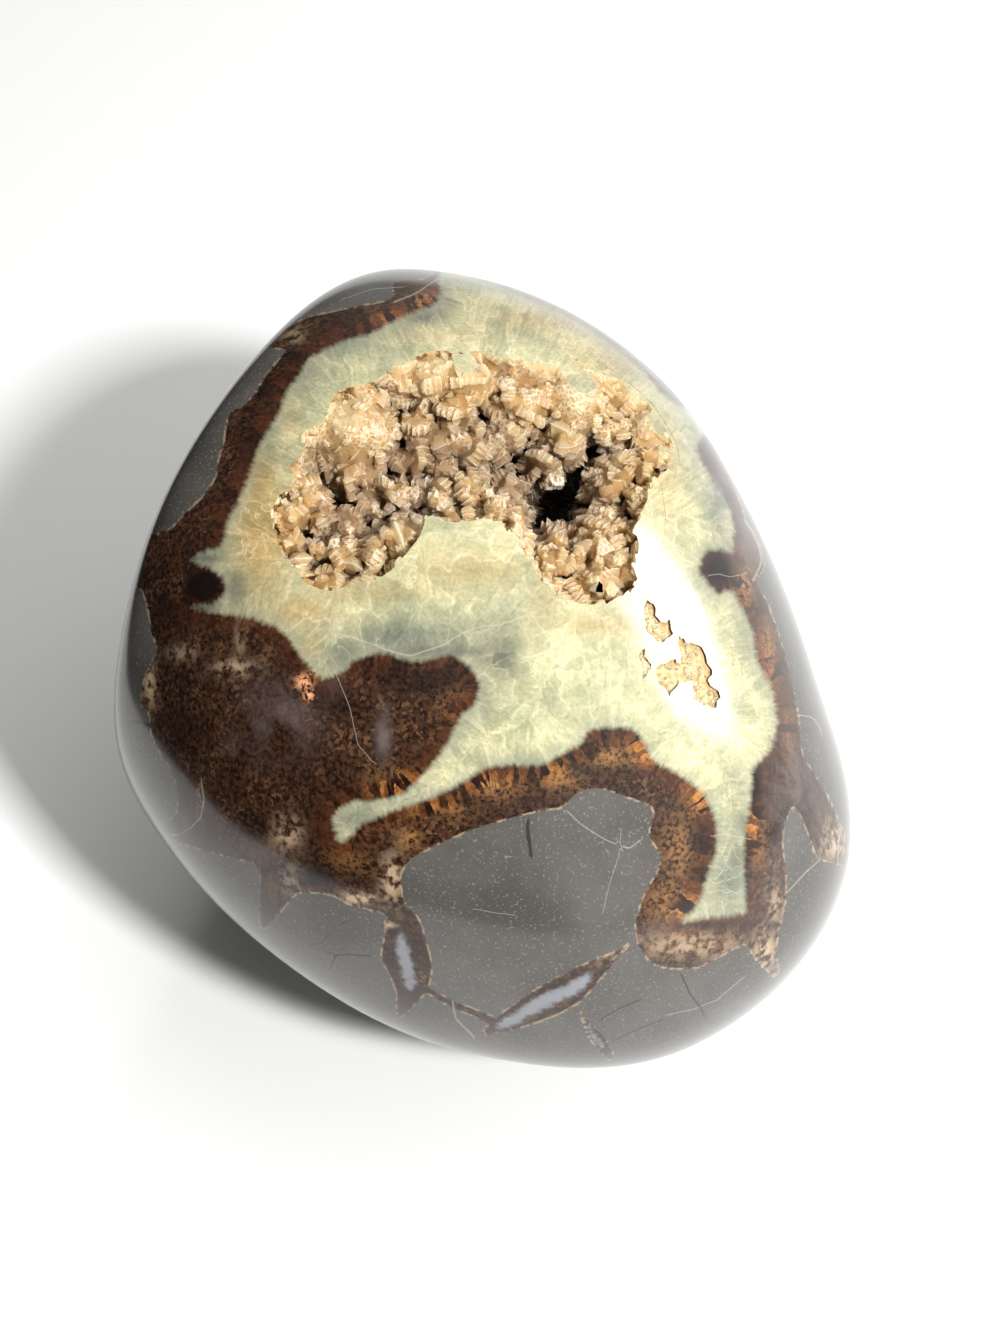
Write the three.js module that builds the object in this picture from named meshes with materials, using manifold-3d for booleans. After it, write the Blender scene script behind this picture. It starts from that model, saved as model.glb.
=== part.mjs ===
// A polished septarian nodule: one egg-shaped concretion of grey mudstone, cracked and healed
// with brown aragonite and pale calcite, ground and polished all over, with a crystal-lined
// hollow left open on its top.
//
// Millimetres, +Z up. The stone rests on a small flat ground on its underside, at z = 0, and
// the origin is the middle of its box at that level. Its long axis runs from the front (-Y)
// to the back (+Y).

import * as THREE from 'three';
import { mergeVertices } from 'three/addons/utils/BufferGeometryUtils.js';
import Module from 'manifold-3d';

const wasm = await Module();
wasm.setup();

// ---- Driving dimensions -------------------------------------------------------------------

// The plain egg that the stone was ground from: half its width, length and height.
const EGG_HALF = new THREE.Vector3(59, 68, 54);
const EGG_MIDDLE = new THREE.Vector3(-1.5, -1.8, 51.5);

// The waist runs round the stone square to a line that leaves its middle towards the front,
// WAIST_RISE degrees up. There the stone swells or falls in by these hundredths of the egg,
// at even turns, starting at the right and going over the top to the left. The swelling fades
// to nothing at both ends of that line.
const WAIST_RISE = 50;
const WAIST_SWELL = [-10.5, -15.5, -8, 3.5, 17, 22, 6.5, -7.5, -13.5, -7, 7.5, 9.5];

// A broad flat ground on the left flank: the way it faces, and how far out it lies.
const LEFT_FLAT = { turn: -117, rise: 3, distance: 43.5 };
const FLAT_SHARPNESS = 16;

// The hollow is four pockets grown together and a deep pit at the back of the right one.
// Each has its middle and its half width, half length and half height.
const POCKETS = {
  left: { middle: [-19, -14, 101], half: [12, 15, 20] },
  centre: { middle: [-4, -2, 99], half: [21, 18, 25] },
  right: { middle: [12.5, -9, 97], half: [13, 20.5, 29] },
  backRight: { middle: [14, 6.5, 95], half: [14.5, 15.5, 22] },
  deepPit: { middle: [10, 1, 79], half: [9, 10, 17] },
};

// Shallow pits where the polish broke into small holes in the calcite, right of the hollow.
const SMALL_PITS = [
  { middle: [23.3, -27.8, 93.7], half: [2, 2.6, 1.8] },
  { middle: [28, -32.3, 89.2], half: [4, 3, 1.8] },
  { middle: [21.6, -34.2, 92.5], half: [1.2, 2.4, 1.2] },
];

// The crust of calcite crystals that lines the hollow: a skin on the pockets' walls, and the
// crystals that stand on it, rooted in the skin. CRYSTAL_TRIES places are tried for each
// crystal's share of the wall, and those too near a crystal already there are passed over.
const CRUST_GAP = 0.3;
const CRUST_THICKNESS = 1.5;
const CRYSTAL_SPACING = 6;
const CRYSTAL_TRIES = 2;
const CRYSTAL_DEPTH_BELOW_POLISH = 0.5;
const CRYSTAL_LENGTH = { shortest: 4, longest: 6.5 };
const CRYSTAL_WIDTH = { narrowest: 2.6, widest: 4 };
const CRYSTAL_LEAN = 22;
const CRYSTAL_ROOT = 1;
const SEED = 7;

// How finely the faceted solids follow the round forms.
const STONE_DETAIL = 9;
const POCKET_DETAIL = 3;
const PIT_DETAIL = 1;

// ---- Small tools --------------------------------------------------------------------------

const radians = THREE.MathUtils.degToRad;

// The unit vector that looks out at a turn from the front (right is 90) and a rise.
function facing(turn, rise) {
  const level = Math.cos(radians(rise));
  return new THREE.Vector3(
    level * Math.sin(radians(turn)),
    -level * Math.cos(radians(turn)),
    Math.sin(radians(rise)),
  );
}

// A repeatable random number from 0 to 1.
function makeRandom(seed) {
  let state = seed;
  return () => {
    state = (state + 0x6d2b79f5) | 0;
    let t = Math.imul(state ^ (state >>> 15), 1 | state);
    t = (t + Math.imul(t ^ (t >>> 7), 61 | t)) ^ t;
    return ((t ^ (t >>> 14)) >>> 0) / 4294967296;
  };
}

function toSolid(geometry) {
  geometry.deleteAttribute('normal');
  geometry.deleteAttribute('uv');
  const merged = mergeVertices(geometry, 1e-5);
  return new wasm.Manifold(new wasm.Mesh({
    numProp: 3,
    vertProperties: new Float32Array(merged.attributes.position.array),
    triVerts: new Uint32Array(merged.index.array),
  }));
}

function toGeometry(solid) {
  const mesh = solid.getMesh();
  const geometry = new THREE.BufferGeometry();
  geometry.setAttribute('position', new THREE.BufferAttribute(mesh.vertProperties, 3));
  geometry.setIndex(new THREE.BufferAttribute(mesh.triVerts, 1));
  geometry.computeVertexNormals();
  return geometry;
}

function joinAll(solids) {
  return solids.reduce((joined, solid) => joined.add(solid));
}

function ellipsoid(middle, half, detail) {
  const geometry = new THREE.IcosahedronGeometry(1, detail);
  geometry.scale(...half);
  geometry.translate(...middle);
  return toSolid(geometry);
}

// ---- The outer form -----------------------------------------------------------------------

const waistAxis = facing(0, WAIST_RISE);
const waistRight = new THREE.Vector3(1, 0, 0);
const waistTop = new THREE.Vector3().crossVectors(waistAxis, waistRight);
const flatFacing = facing(LEFT_FLAT.turn, LEFT_FLAT.rise);

// A smooth closed curve through evenly spaced values, at a turn given in radians.
function alongWaist(turn) {
  const count = WAIST_SWELL.length;
  const place = (turn / (2 * Math.PI) + 1) * count;
  const step = Math.floor(place);
  const part = place - step;
  const [a, b, c, d] = [-1, 0, 1, 2].map((k) => WAIST_SWELL[(step + k) % count]);
  const bend = 2 * a - 5 * b + 4 * c - d + part * (3 * (b - c) + d - a);
  return b + 0.5 * part * (c - a + part * bend);
}

// How far the surface lies from the middle of the egg, along a unit vector.
function formRadius(out) {
  const egg = 1 / Math.hypot(out.x / EGG_HALF.x, out.y / EGG_HALF.y, out.z / EGG_HALF.z);
  const turn = Math.atan2(out.dot(waistTop), out.dot(waistRight));
  const nearness = 1 - out.dot(waistAxis) ** 2;
  const swollen = egg * (1 + (alongWaist(turn) / 100) * nearness);
  const toFlat = Math.max(0, out.dot(flatFacing)) / LEFT_FLAT.distance;
  const softly = swollen ** -FLAT_SHARPNESS + toFlat ** FLAT_SHARPNESS;
  return softly ** (-1 / FLAT_SHARPNESS);
}

function makeForm() {
  const geometry = new THREE.IcosahedronGeometry(1, STONE_DETAIL);
  const position = geometry.attributes.position;
  const point = new THREE.Vector3();
  for (let i = 0; i < position.count; i += 1) {
    point.fromBufferAttribute(position, i).normalize();
    point.multiplyScalar(formRadius(point)).add(EGG_MIDDLE);
    position.setXYZ(i, point.x, point.y, point.z);
  }
  const underside = new THREE.BoxGeometry(200, 200, 60);
  underside.translate(0, 0, -30);
  return toSolid(geometry).subtract(toSolid(underside));
}

// ---- The hollow ---------------------------------------------------------------------------

// The pockets joined, each drawn in by an inset from the wall of the stone.
function makeHollow(inset) {
  return joinAll(Object.values(POCKETS).map(({ middle, half }) =>
    ellipsoid(middle, half.map((h) => h - inset), POCKET_DETAIL)));
}

// The crystals grow from points spread evenly over the pockets' walls, where the wall is
// bare of other pockets and under the stone's surface.
function crystalPlaces() {
  const inset = CRUST_GAP + CRUST_THICKNESS;
  const places = [];
  for (const pocket of Object.values(POCKETS)) {
    const middle = new THREE.Vector3(...pocket.middle);
    const half = new THREE.Vector3(...pocket.half.map((h) => h - inset));
    const area = 4 * Math.PI * ((half.x + half.y + half.z) / 3) ** 2;
    const count = Math.round((CRYSTAL_TRIES * area) / CRYSTAL_SPACING ** 2);
    for (let i = 0; i < count; i += 1) {
      const z = 1 - (2 * (i + 0.5)) / count;
      const turn = i * Math.PI * (3 - Math.sqrt(5));
      const level = Math.sqrt(1 - z * z);
      const out = new THREE.Vector3(level * Math.cos(turn), level * Math.sin(turn), z);
      const point = out.clone().multiply(half).add(middle);
      const inward = out.clone().divide(half).normalize().negate();
      const free = !inAnotherPocket(point, inset, pocket) && underSurface(point);
      const apart = places.every((p) => p.point.distanceTo(point) > CRYSTAL_SPACING);
      if (free && apart) {
        places.push({ point, inward });
      }
    }
  }
  return places;
}

// True where a point on one pocket's wall lies in the open space of another pocket.
function inAnotherPocket(point, inset, own) {
  return Object.values(POCKETS).some((pocket) => {
    if (pocket === own) {
      return false;
    }
    const [x, y, z] = pocket.half.map((h, k) =>
      (point.getComponent(k) - pocket.middle[k]) / (h - inset));
    return Math.hypot(x, y, z) < 1;
  });
}

function underSurface(point) {
  const out = point.clone().sub(EGG_MIDDLE);
  const distance = out.length();
  return distance < formRadius(out.divideScalar(distance)) - CRYSTAL_DEPTH_BELOW_POLISH;
}

// One calcite crystal: a block standing on its corner, drawn out along its growth, so that
// three flat faces meet in a point.
function makeCrystal(place, random) {
  const geometry = new THREE.BoxGeometry(1, 1, 1);
  const cornerUp = new THREE.Quaternion().setFromUnitVectors(
    new THREE.Vector3(1, 1, 1).normalize(),
    new THREE.Vector3(0, 0, 1),
  );
  const { narrowest, widest } = CRYSTAL_WIDTH;
  const { shortest, longest } = CRYSTAL_LENGTH;
  const width = narrowest + (widest - narrowest) * random();
  const length = shortest + (longest - shortest) * random() ** 2;
  geometry.applyQuaternion(cornerUp);
  geometry.scale(width, width, length);
  geometry.rotateZ(random() * Math.PI * 2);
  geometry.rotateX(radians(CRYSTAL_LEAN * random()));
  geometry.rotateZ(random() * Math.PI * 2);
  const grow = new THREE.Quaternion().setFromUnitVectors(
    new THREE.Vector3(0, 0, 1),
    place.inward,
  );
  geometry.applyQuaternion(grow);
  const foot = place.point.clone().addScaledVector(place.inward, length * 0.5 - CRYSTAL_ROOT);
  geometry.translate(foot.x, foot.y, foot.z);
  return toSolid(geometry);
}

// ---- The two pieces -----------------------------------------------------------------------

const form = makeForm();

function makeNodule() {
  const pits = SMALL_PITS.map(({ middle, half }) => ellipsoid(middle, half, PIT_DETAIL));
  const geometry = toGeometry(form.subtract(joinAll([makeHollow(0), ...pits])));
  const stone = new THREE.MeshStandardMaterial({ color: 0x6b6259, roughness: 0.18 });
  const nodule = new THREE.Mesh(geometry, stone);
  nodule.name = 'nodule';
  return nodule;
}

function makeCrystalCrust() {
  const random = makeRandom(SEED);
  const outside = makeHollow(CRUST_GAP).intersect(form);
  const shell = outside.subtract(makeHollow(CRUST_GAP + CRUST_THICKNESS));
  const crystals = crystalPlaces().map((place) => makeCrystal(place, random));
  const grown = joinAll(crystals).intersect(outside);
  const geometry = toGeometry(shell.add(grown));
  const calcite = new THREE.MeshStandardMaterial({ color: 0xd0ab78, roughness: 0.35 });
  const crust = new THREE.Mesh(geometry, calcite);
  crust.name = 'crystal_crust';
  return crust;
}

const septarianNodule = new THREE.Group();
septarianNodule.name = 'septarian_nodule';
septarianNodule.add(makeNodule(), makeCrystalCrust());

export default septarianNodule;
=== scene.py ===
import math

import bmesh
import bpy
import numpy as np
from mathutils import Matrix, Vector, noise


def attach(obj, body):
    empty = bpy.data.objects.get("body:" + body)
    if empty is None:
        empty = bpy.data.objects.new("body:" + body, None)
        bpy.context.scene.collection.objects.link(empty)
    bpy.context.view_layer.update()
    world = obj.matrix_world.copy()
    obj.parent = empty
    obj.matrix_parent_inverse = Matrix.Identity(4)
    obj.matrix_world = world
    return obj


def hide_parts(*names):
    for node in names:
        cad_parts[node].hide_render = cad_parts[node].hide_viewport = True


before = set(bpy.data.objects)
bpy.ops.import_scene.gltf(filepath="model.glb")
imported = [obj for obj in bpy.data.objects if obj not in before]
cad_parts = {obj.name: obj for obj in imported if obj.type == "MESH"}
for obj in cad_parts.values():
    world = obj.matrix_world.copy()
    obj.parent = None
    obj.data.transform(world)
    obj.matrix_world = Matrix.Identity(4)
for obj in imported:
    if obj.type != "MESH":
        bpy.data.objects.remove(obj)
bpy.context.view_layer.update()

# The camera. It looks down on the stone from the front at 50 degrees, with a 60 mm lens.
# Sizes in this file are in millimetres, and MM turns them into Blender's metres.
MM = 0.001
PICTURE_SIZE = (1000, 1329)
LENS = 60
SENSOR = 36
CAMERA_RISE = math.radians(50)
CAMERA_DISTANCE = 355
STONE_MIDDLE = np.array([-1.5, -1.8, 51.5])
STONE_MIDDLE_PIXEL = np.array([480, 672])

pixels_per_slope = LENS / SENSOR * PICTURE_SIZE[1]
picture_middle = np.array(PICTURE_SIZE) / 2
camera_right = np.array([1.0, 0.0, 0.0])
camera_up = np.array([0.0, math.sin(CAMERA_RISE), math.cos(CAMERA_RISE)])
camera_back = np.array([0.0, -math.cos(CAMERA_RISE), math.sin(CAMERA_RISE)])
aside = (STONE_MIDDLE_PIXEL - picture_middle) * CAMERA_DISTANCE / pixels_per_slope
eye = (STONE_MIDDLE + camera_back * CAMERA_DISTANCE - camera_right * aside[0] + camera_up
    * aside[1])


def in_picture(points):
    """The pixel that each point is seen at."""
    away = points - eye
    depth = -(away @ camera_back)
    x = picture_middle[0] + pixels_per_slope * (away @ camera_right) / depth
    y = picture_middle[1] - pixels_per_slope * (away @ camera_up) / depth
    return np.stack([x, y], axis=1)


def add_object(name, data):
    """A new object in the scene."""
    item = bpy.data.objects.new(name, data)
    bpy.context.scene.collection.objects.link(item)
    return item


lens = bpy.data.cameras.new("camera")
lens.lens = LENS
lens.sensor_width = SENSOR
camera = add_object("camera", lens)
camera.location = eye * MM
camera.rotation_euler = (math.pi / 2 - CAMERA_RISE, 0, 0)
bpy.context.scene.camera = camera

# The floor and the light. A plain white surface, a lamp at the front right that throws the
# shadow to the left, soft light from above, a round window that only the polish mirrors, and
# a white room that is dim on the left.
FLOOR_LEFT, FLOOR_RIGHT = -190, 620
FLOOR_FRONT, FLOOR_BACK = -520, 560
FLOOR_COLOUR = (0.62, 0.62, 0.61, 1)
# Each light's place, size and power, and whether the polish mirrors it.
LIGHTS = {
    "window": ((580.8, 221.7, 369.3), (340, 400), 3.8, True),
    "lamp": ((348.1, -520.1, 698.9), (90, 90), 15.0, False),
    "fill": ((250, 150, 900), (700, 700), 3.2, False),
    "skylight": ((120, 620, 380), (110, 70), 1.0, False),
}
ROOM_LEFT, ROOM_RIGHT, ROOM_TOP = 0.02, 0.92, 0.10


def add_node(kind, values=None, **settings):
    """A node with its settings, and with values or other nodes' outputs in its sockets."""
    node = tree.nodes.new(kind)
    for name, value in settings.items():
        setattr(node, name, value)
    for name, value in (values or {}).items():
        socket = node.inputs[name]
        if isinstance(value, bpy.types.NodeSocket):
            tree.links.new(value, socket)
        else:
            socket.default_value = value
    return node


def new_material(name):
    """An empty material, its node tree and its output node."""
    material = bpy.data.materials.new(name)
    material.use_nodes = True
    material.node_tree.nodes.clear()
    output = material.node_tree.nodes.new("ShaderNodeOutputMaterial")
    return material, material.node_tree, output


floor_mesh = bpy.data.meshes.new("floor")
left, right = FLOOR_LEFT * MM, FLOOR_RIGHT * MM
front, back = FLOOR_FRONT * MM, FLOOR_BACK * MM
floor_mesh.from_pydata([(left, front, 0), (right, front, 0), (right, back, 0), (left, back, 0)],
    [], [(0, 1, 2, 3)])
floor = add_object("floor", floor_mesh)
floor_paint, tree, output = new_material("white floor")
shader = add_node("ShaderNodeBsdfPrincipled", {"Base Color": FLOOR_COLOUR, "Roughness": 0.7})
tree.links.new(shader.outputs[0], output.inputs["Surface"])
floor_mesh.materials.append(floor_paint)

for name, (place, size, power, mirrored) in LIGHTS.items():
    light = bpy.data.lights.new(name, "AREA")
    light.shape = "ELLIPSE" if mirrored else "RECTANGLE"
    light.size, light.size_y = size[0] * MM, size[1] * MM
    light.energy = power
    lamp = add_object(name, light)
    lamp.location = Vector(place) * MM
    towards = Vector(place) - Vector(STONE_MIDDLE)
    lamp.rotation_euler = towards.to_track_quat("Z", "Y").to_euler()
    lamp.visible_diffuse = not mirrored
    lamp.visible_glossy = mirrored

room = bpy.data.worlds.new("white room")
room.use_nodes = True
tree = room.node_tree
tree.nodes.clear()
way = add_node("ShaderNodeTexCoord")
parts = add_node("ShaderNodeSeparateXYZ", {"Vector": way.outputs["Generated"]})
to_right = add_node("ShaderNodeMapRange", {"Value": parts.outputs["X"], "From Min": -0.5,
    "From Max": 0.9, "To Min": ROOM_LEFT, "To Max": ROOM_RIGHT}, interpolation_type="SMOOTHSTEP")
to_top = add_node("ShaderNodeMapRange", {"Value": parts.outputs["Z"], "From Min": 0.2,
    "From Max": 1.0, "To Min": 0.0, "To Max": ROOM_TOP})
strength = add_node("ShaderNodeMath", {0: to_right.outputs[0], 1: to_top.outputs[0]},
    operation="ADD")
backdrop = add_node("ShaderNodeBackground", {"Color": (1.0, 1.0, 1.0, 1),
    "Strength": strength.outputs[0]})
room_output = tree.nodes.new("ShaderNodeOutputWorld")
tree.links.new(backdrop.outputs[0], room_output.inputs["Surface"])
bpy.context.scene.world = room
bpy.context.scene.view_settings.view_transform = "Standard"

# The nodule. One egg of grey mudstone that cracked, and healed first with brown aragonite
# and then with pale calcite. It is ground and polished all over, with a small flat under it.
EGG_HALF = np.array([58.92, 67.6, 53.95])
WAIST_RISE = 50
WAIST_SWELL = np.array([-10.5, -15.5, -8, 3.5, 17, 22, 6.5, -7.5, -13.5, -7, 7.5, 9.5])
FLAT_TURN, FLAT_RISE, FLAT_DISTANCE = -117, 3, 43.5
FLAT_SHARPNESS = 16
STONE_GRID = 112
FRONT_DENSITY = 0.6


def facing(turn, rise):
    """The unit vector at a turn from the front (right is 90) and a rise."""
    turn, rise = math.radians(turn), math.radians(rise)
    return np.array([math.cos(rise) * math.sin(turn), -math.cos(rise) * math.cos(turn),
        math.sin(rise)])


waist_axis = facing(0, WAIST_RISE)
waist_right = np.array([1.0, 0.0, 0.0])
waist_top = np.cross(waist_axis, waist_right)
flat_facing = facing(FLAT_TURN, FLAT_RISE)


def along_closed(values, turn):
    """A smooth closed curve through evenly spaced values, at turns in radians."""
    count = len(values)
    place = (turn / (2 * np.pi) * count) % count
    step = np.floor(place).astype(int) % count
    part = place - np.floor(place)
    a, b, c, d = (values[(step + k) % count] for k in (-1, 0, 1, 2))
    bend = 2 * a - 5 * b + 4 * c - d + part * (3 * (b - c) + d - a)
    return b + 0.5 * part * (c - a + part * bend)


def form_radius(out):
    """How far the polished surface lies from the middle, along unit vectors."""
    egg = 1 / np.linalg.norm(out / EGG_HALF, axis=1)
    turn = np.arctan2(out @ waist_top, out @ waist_right)
    nearness = 1 - (out @ waist_axis) ** 2
    swollen = egg * (1 + along_closed(WAIST_SWELL, turn) / 100 * nearness)
    to_flat = np.maximum(0, out @ flat_facing) / FLAT_DISTANCE
    return (swollen ** -FLAT_SHARPNESS + to_flat ** FLAT_SHARPNESS) ** (-1 / FLAT_SHARPNESS)


def above_polish(points):
    """How far points stand out of the polished form, and are under it where negative."""
    away = points - STONE_MIDDLE
    distance = np.linalg.norm(away, axis=1)
    return distance - form_radius(away / distance[:, None])


def polish_normals(points):
    """The way the polished surface faces at or near points."""
    steps = np.eye(3) * 0.05
    slopes = [above_polish(points + s) - above_polish(points - s) for s in steps]
    normals = np.stack(slopes, axis=1)
    return normals / np.linalg.norm(normals, axis=1)[:, None]


def even_sphere(grid):
    """Unit vectors and square faces of a ball cut from a cube, facing the waist's axis."""
    line = np.tan(np.linspace(-np.pi / 4, np.pi / 4, grid + 1))
    across, along = np.meshgrid(line, line, indexing="ij")
    flat = np.ones_like(across)
    sides = []
    for axis in range(3):
        for sign in (1, -1):
            side = [None, None, None]
            side[axis] = flat * sign
            side[(axis + 1) % 3] = across * sign
            side[(axis + 2) % 3] = along
            sides.append(np.stack(side, axis=-1).reshape(-1, 3))
    corners = np.concatenate(sides)
    corners /= np.linalg.norm(corners, axis=1)[:, None]
    _, first, shared = np.unique(np.round(corners, 6), axis=0, return_index=True,
        return_inverse=True)
    shared = shared.reshape(-1)
    number = np.arange((grid + 1) ** 2).reshape(grid + 1, grid + 1)
    square = np.stack([number[:-1, :-1], number[1:, :-1], number[1:, 1:], number[:-1, 1:]],
        axis=-1).reshape(-1, 4)
    faces = np.concatenate([shared[square + k * (grid + 1) ** 2] for k in range(6)])
    return corners[first], faces


def dense_in_front(out):
    """Draws the vectors towards the waist's axis, so that the front has the most points."""
    ahead = out[:, 2]
    beside = np.linalg.norm(out[:, :2], axis=1)
    tilt = 2 * np.arctan(FRONT_DENSITY * np.tan(np.arctan2(beside, ahead) / 2))
    level = out[:, :2] / np.maximum(beside, 1e-9)[:, None]
    return (np.cos(tilt)[:, None] * waist_axis + (np.sin(tilt) * level[:, 0])[:, None]
        * waist_right + (np.sin(tilt) * level[:, 1])[:, None] * waist_top)


def new_mesh(name, points, faces):
    """A mesh from points in millimetres."""
    mesh = bpy.data.meshes.new(name)
    mesh.from_pydata(np.asarray(points) * MM, [], [tuple(f) for f in faces])
    mesh.update()
    return mesh


def face_outwards(mesh):
    """Splits a closed mesh's faces into triangles and turns them all outwards."""
    shell = bmesh.new()
    shell.from_mesh(mesh)
    bmesh.ops.triangulate(shell, faces=shell.faces)
    bmesh.ops.recalc_face_normals(shell, faces=shell.faces)
    shell.to_mesh(mesh)
    shell.free()
    return mesh


def closed_mesh(name, points, faces):
    """A closed mesh of triangles from points in millimetres and faces of any size."""
    return face_outwards(new_mesh(name, points, faces))


def cut(mesh, tools, operation):
    """A closed mesh after it is cut by or joined to others, which are used up."""
    body = add_object("body", mesh)
    used = [body]
    for tool_mesh in tools:
        tool = add_object("tool", tool_mesh)
        step = body.modifiers.new("step", "BOOLEAN")
        step.operation = operation
        step.solver = "MANIFOLD"
        step.object = tool
        used.append(tool)
    ready = body.evaluated_get(bpy.context.evaluated_depsgraph_get())
    result = bpy.data.meshes.new_from_object(ready)
    for item in used:
        bpy.data.objects.remove(item)
    return result


def points_of(mesh):
    """A mesh's points in millimetres."""
    values = np.empty(len(mesh.vertices) * 3, dtype=np.float64)
    mesh.vertices.foreach_get("co", values)
    return values.reshape(-1, 3) / MM


# The hollow is four pockets grown together and a deep pit, each with its middle and its
# half sizes, as the crack was left open when the calcite stopped growing.
POCKETS = {
    "left": ((-19, -14, 101), (12, 15, 20)),
    "centre": ((-4, -2, 99), (21, 18, 25)),
    "right": ((12.5, -9, 97), (13, 20.5, 29)),
    "back right": ((14, 6.5, 95), (14.5, 15.5, 22)),
    "deep pit": ((10, 1, 79), (9, 10, 17)),
}
POCKET_FINENESS = 4


def pocket_mesh(name, inset, wave, wave_size):
    """One pocket's closed ellipsoid, drawn in from its wall, with a gently wavy face."""
    middle, half = (np.array(v, dtype=float) for v in POCKETS[name])
    ball = bmesh.new()
    bmesh.ops.create_icosphere(ball, subdivisions=POCKET_FINENESS, radius=1)
    for vert in ball.verts:
        out = np.array(vert.co)
        point = middle + out * (half - inset)
        point += out * wave * noise.noise(Vector(point / wave_size))
        vert.co = point * MM
    mesh = bpy.data.meshes.new(name)
    ball.to_mesh(mesh)
    ball.free()
    return mesh


# The small pits right of the hollow, where thin calcite broke into holes: their outlines in
# pixels and their depth.
SMALL_PITS = {
    "upper pit": ([(646, 600), (654, 604), (657, 616), (661, 622), (668, 621), (672, 632),
        (664, 643), (656, 642), (648, 632), (643, 620)], 0.9),
    "lower pit": ([(678, 635), (687, 642), (701, 648), (713, 670), (708, 680), (720, 692),
        (718, 706), (710, 708), (694, 699), (692, 682), (678, 683), (669, 696), (659, 685),
        (656, 669), (670, 659), (682, 663)], 0.9),
    "side pit": ([(644, 649), (640, 656), (644, 678), (651, 669), (647, 658)], 0.6),
}
PIT_TEETH = 1.8
chance = np.random.default_rng(23)
noise.seed_set(23)


def on_polish(pixels):
    """The points of the polished surface that are seen at pixels."""
    pixels = np.asarray(pixels, dtype=float)
    slope = (pixels - picture_middle) / pixels_per_slope
    ray = slope[:, :1] * camera_right - slope[:, 1:] * camera_up - camera_back
    near = np.full(len(pixels), 240.0)
    for _ in range(60):
        near += above_polish(eye + near[:, None] * ray) * 0.8
    return eye + near[:, None] * ray


def along_closed_line(outline, steps=3):
    """More points on a closed outline, on a smooth curve through the given ones."""
    outline = np.asarray(outline, dtype=float)
    turn = np.arange(len(outline) * steps) / (len(outline) * steps) * 2 * np.pi
    return np.stack([along_closed(outline[:, k], turn) for k in (0, 1)], axis=1)


def drawn_in(outline, amount):
    """A closed outline drawn in by an amount, or let out where it is negative."""
    ahead = np.roll(outline, -1, axis=0) - np.roll(outline, 1, axis=0)
    ahead /= np.linalg.norm(ahead, axis=1)[:, None]
    nxt = np.roll(outline, -1, axis=0)
    area = np.sum(outline[:, 0] * nxt[:, 1] - nxt[:, 0] * outline[:, 1])
    inward = np.stack([-ahead[:, 1], ahead[:, 0]], axis=1) * np.sign(area)
    return outline + inward * amount


def jagged(outline, steps, amount):
    """A closed outline with broken edges: more points, each moved a little at random."""
    share = np.arange(steps)[:, None, None] / steps
    fine = outline + (np.roll(outline, -1, axis=0) - outline) * share
    fine = fine.transpose(1, 0, 2).reshape(-1, 2)
    return fine + chance.uniform(-amount, amount, fine.shape)


def sunk_mesh(outline, levels):
    """A closed plug seen with the outline given: at each depth in it, how far it is drawn in."""
    rings = []
    for depth, inset in levels:
        rim = on_polish(drawn_in(outline, inset))
        sight = (rim - eye) / np.linalg.norm(rim - eye, axis=1)[:, None]
        rings.append(rim + sight * depth)
    count = len(outline)
    faces = [tuple(range(count)), tuple(reversed(range((len(rings) - 1) * count,
        len(rings) * count)))]
    for level in range(len(rings) - 1):
        for k in range(count):
            n = (k + 1) % count
            low, high = level * count, (level + 1) * count
            faces.append((low + n, low + k, high + k, high + n))
    return closed_mesh("plug", np.concatenate(rings), faces)


def egg_mesh(name, grid, lowered_by):
    """The polished form as a closed mesh, or the form that lies a little under it."""
    out, squares = even_sphere(grid)
    out = dense_in_front(out)
    reach = form_radius(out) - lowered_by
    return closed_mesh(name, STONE_MIDDLE + out * reach[:, None], squares)


stone_mesh = egg_mesh("nodule", STONE_GRID, 0)

under = bmesh.new()
bmesh.ops.create_cube(under, size=0.2, matrix=Matrix.Translation((0, 0, -0.1)))
ground_off = bpy.data.meshes.new("ground off")
under.to_mesh(ground_off)
under.free()

tools = [ground_off]
tools += [pocket_mesh(name, 0.0, 0.5, 3.0) for name in POCKETS]
tools += [sunk_mesh(jagged(np.array(outline, dtype=float), 3, PIT_TEETH),
    [(-1, 0), (0, 0), (depth, 0)]) for outline, depth in SMALL_PITS.values()]
stone_mesh = cut(stone_mesh, tools, "DIFFERENCE")
stone = add_object("polished_nodule", stone_mesh)
stone_points = points_of(stone_mesh)

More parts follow.
